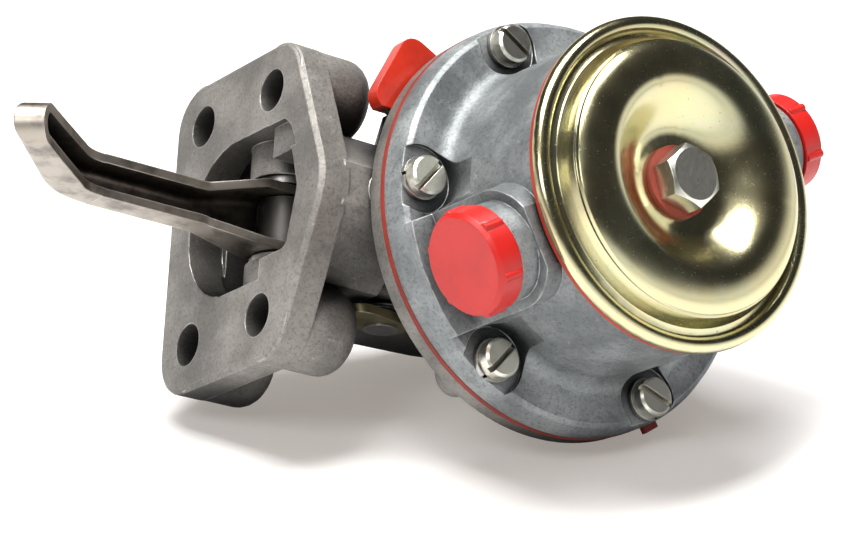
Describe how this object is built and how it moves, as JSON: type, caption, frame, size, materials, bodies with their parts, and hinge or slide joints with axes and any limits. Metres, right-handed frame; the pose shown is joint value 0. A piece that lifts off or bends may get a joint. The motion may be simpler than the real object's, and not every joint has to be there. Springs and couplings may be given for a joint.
{
  "type": "mechanical fuel pump",
  "caption": "Cam-driven diaphragm fuel pump with a bolted mounting flange, a curved rocker arm, a hand primer, a domed filter cover and capped ports.",
  "frame": {"origin": "centre of the four mounting holes, on the mounting face", "axes": "-X out of the mounting face, along the rocker arm; +Z along the pump axis towards the domed cover; Y along the long side of the mounting flange"},
  "size_m": [0.1553, 0.0842, 0.105],
  "materials": {
    "cast_lower": "matt die casting with worn edges",
    "cast_upper": "matt die casting",
    "membrane": "red coated fabric",
    "yellow_zinc": "glossy yellow passivated zinc",
    "gasket": "red rubber",
    "bright_zinc": "bright zinc",
    "fibre": "red vulcanised fibre",
    "gauze": "woven brass",
    "valve_brass": "satin",
    "black_rubber": "moulded",
    "spring_steel": "drawn wire",
    "arm_steel": "oiled pressed steel",
    "plain_steel": "turned",
    "dark_steel": "dark strip steel",
    "olive_zinc": "dull yellow passivated strip",
    "red_dip": "dipped red vinyl",
    "red_cap": "moulded red polythene"
  },
  "bodies": {
    "housing": {"lower_body": "cast_lower", "upper_body": "cast_upper", "diaphragm": "membrane", "top_cover": "yellow_zinc", "cover_gasket": "gasket", "cover_bolt": "bright_zinc", "bolt_washer": "fibre", "body_screws": "bright_zinc", "spring_washers": "plain_steel", "filter_gauze": "gauze", "inlet_valve_cage": "valve_brass", "inlet_valve_spring": "spring_steel", "outlet_valve_cage": "valve_brass", "outlet_valve_spring": "spring_steel", "diaphragm_spring": "spring_steel", "oil_seal": "black_rubber", "seal_retainer": "plain_steel", "rocker_spring": "spring_steel", "pivot_pin": "plain_steel", "pivot_washers": "plain_steel", "pin_plugs": "plain_steel", "primer_spring": "spring_steel"},
    "rocker": {"rocker_arm": "arm_steel"},
    "link": {"link_lever": "dark_steel"},
    "plunger": {"pull_rod": "plain_steel", "upper_plate": "plain_steel", "lower_plate": "plain_steel", "rod_nut": "plain_steel"},
    "primer": {"primer_shaft": "plain_steel", "primer_lever": "dark_steel", "primer_pad": "red_dip", "primer_tail": "olive_zinc"},
    "inlet_valve": {"inlet_valve_disc": "black_rubber"},
    "outlet_valve": {"outlet_valve_disc": "black_rubber"},
    "inlet_cover": {"inlet_cap": "red_cap"},
    "outlet_cover": {"outlet_cap": "red_cap"}
  },
  "joints": [
    {"name": "rocker_pivot", "type": "hinge", "parent": "housing", "child": "rocker", "pos_m": [0.0115, 0, 0.0025], "axis": [0, 1, 0], "range_deg": [0, 7], "stiffness_Nm_per_rad": 5, "springref_deg": -17.19, "deforming": ["rocker_spring"]},
    {"name": "link_pivot", "type": "hinge", "parent": "housing", "child": "link", "pos_m": [0.0115, 0, 0.0025], "axis": [0, 1, 0], "range_deg": [0, 7]},
    {"name": "diaphragm_stroke", "type": "slide", "parent": "housing", "child": "plunger", "axis": [0, 0, -1], "range_m": [0, 0.0052], "deforming": ["diaphragm_spring", "diaphragm"]},
    {"name": "primer_pivot", "type": "hinge", "parent": "housing", "child": "primer", "pos_m": [0.03, 0, 0.011], "axis": [0, -1, 0], "range_deg": [0, 12], "stiffness_Nm_per_rad": 0.5, "springref_deg": -17.19},
    {"name": "inlet_valve_lift", "type": "slide", "parent": "housing", "child": "inlet_valve", "axis": [0, 0, -1], "range_m": [0, 0.0015], "stiffness_N_per_m": 30, "springref_m": -0.002, "deforming": ["inlet_valve_spring"]},
    {"name": "outlet_valve_lift", "type": "slide", "parent": "housing", "child": "outlet_valve", "axis": [0, 0, 1], "range_m": [0, 0.0015], "stiffness_N_per_m": 30, "springref_m": -0.002, "deforming": ["outlet_valve_spring"]},
    {"name": "inlet_cap_pull", "type": "slide", "parent": "housing", "child": "inlet_cover", "axis": [-0.866, -0.5, 0], "range_m": [0, 0.025]},
    {"name": "outlet_cap_pull", "type": "slide", "parent": "housing", "child": "outlet_cover", "axis": [0.866, 0.5, 0], "range_m": [0, 0.025]}
  ],
  "couplings": [
    {"joint": "link_pivot", "follows": "rocker_pivot", "ratio": 1},
    {"joint": "diaphragm_stroke", "follows": "rocker_pivot", "m_per_rad": 0.0415}
  ]
}
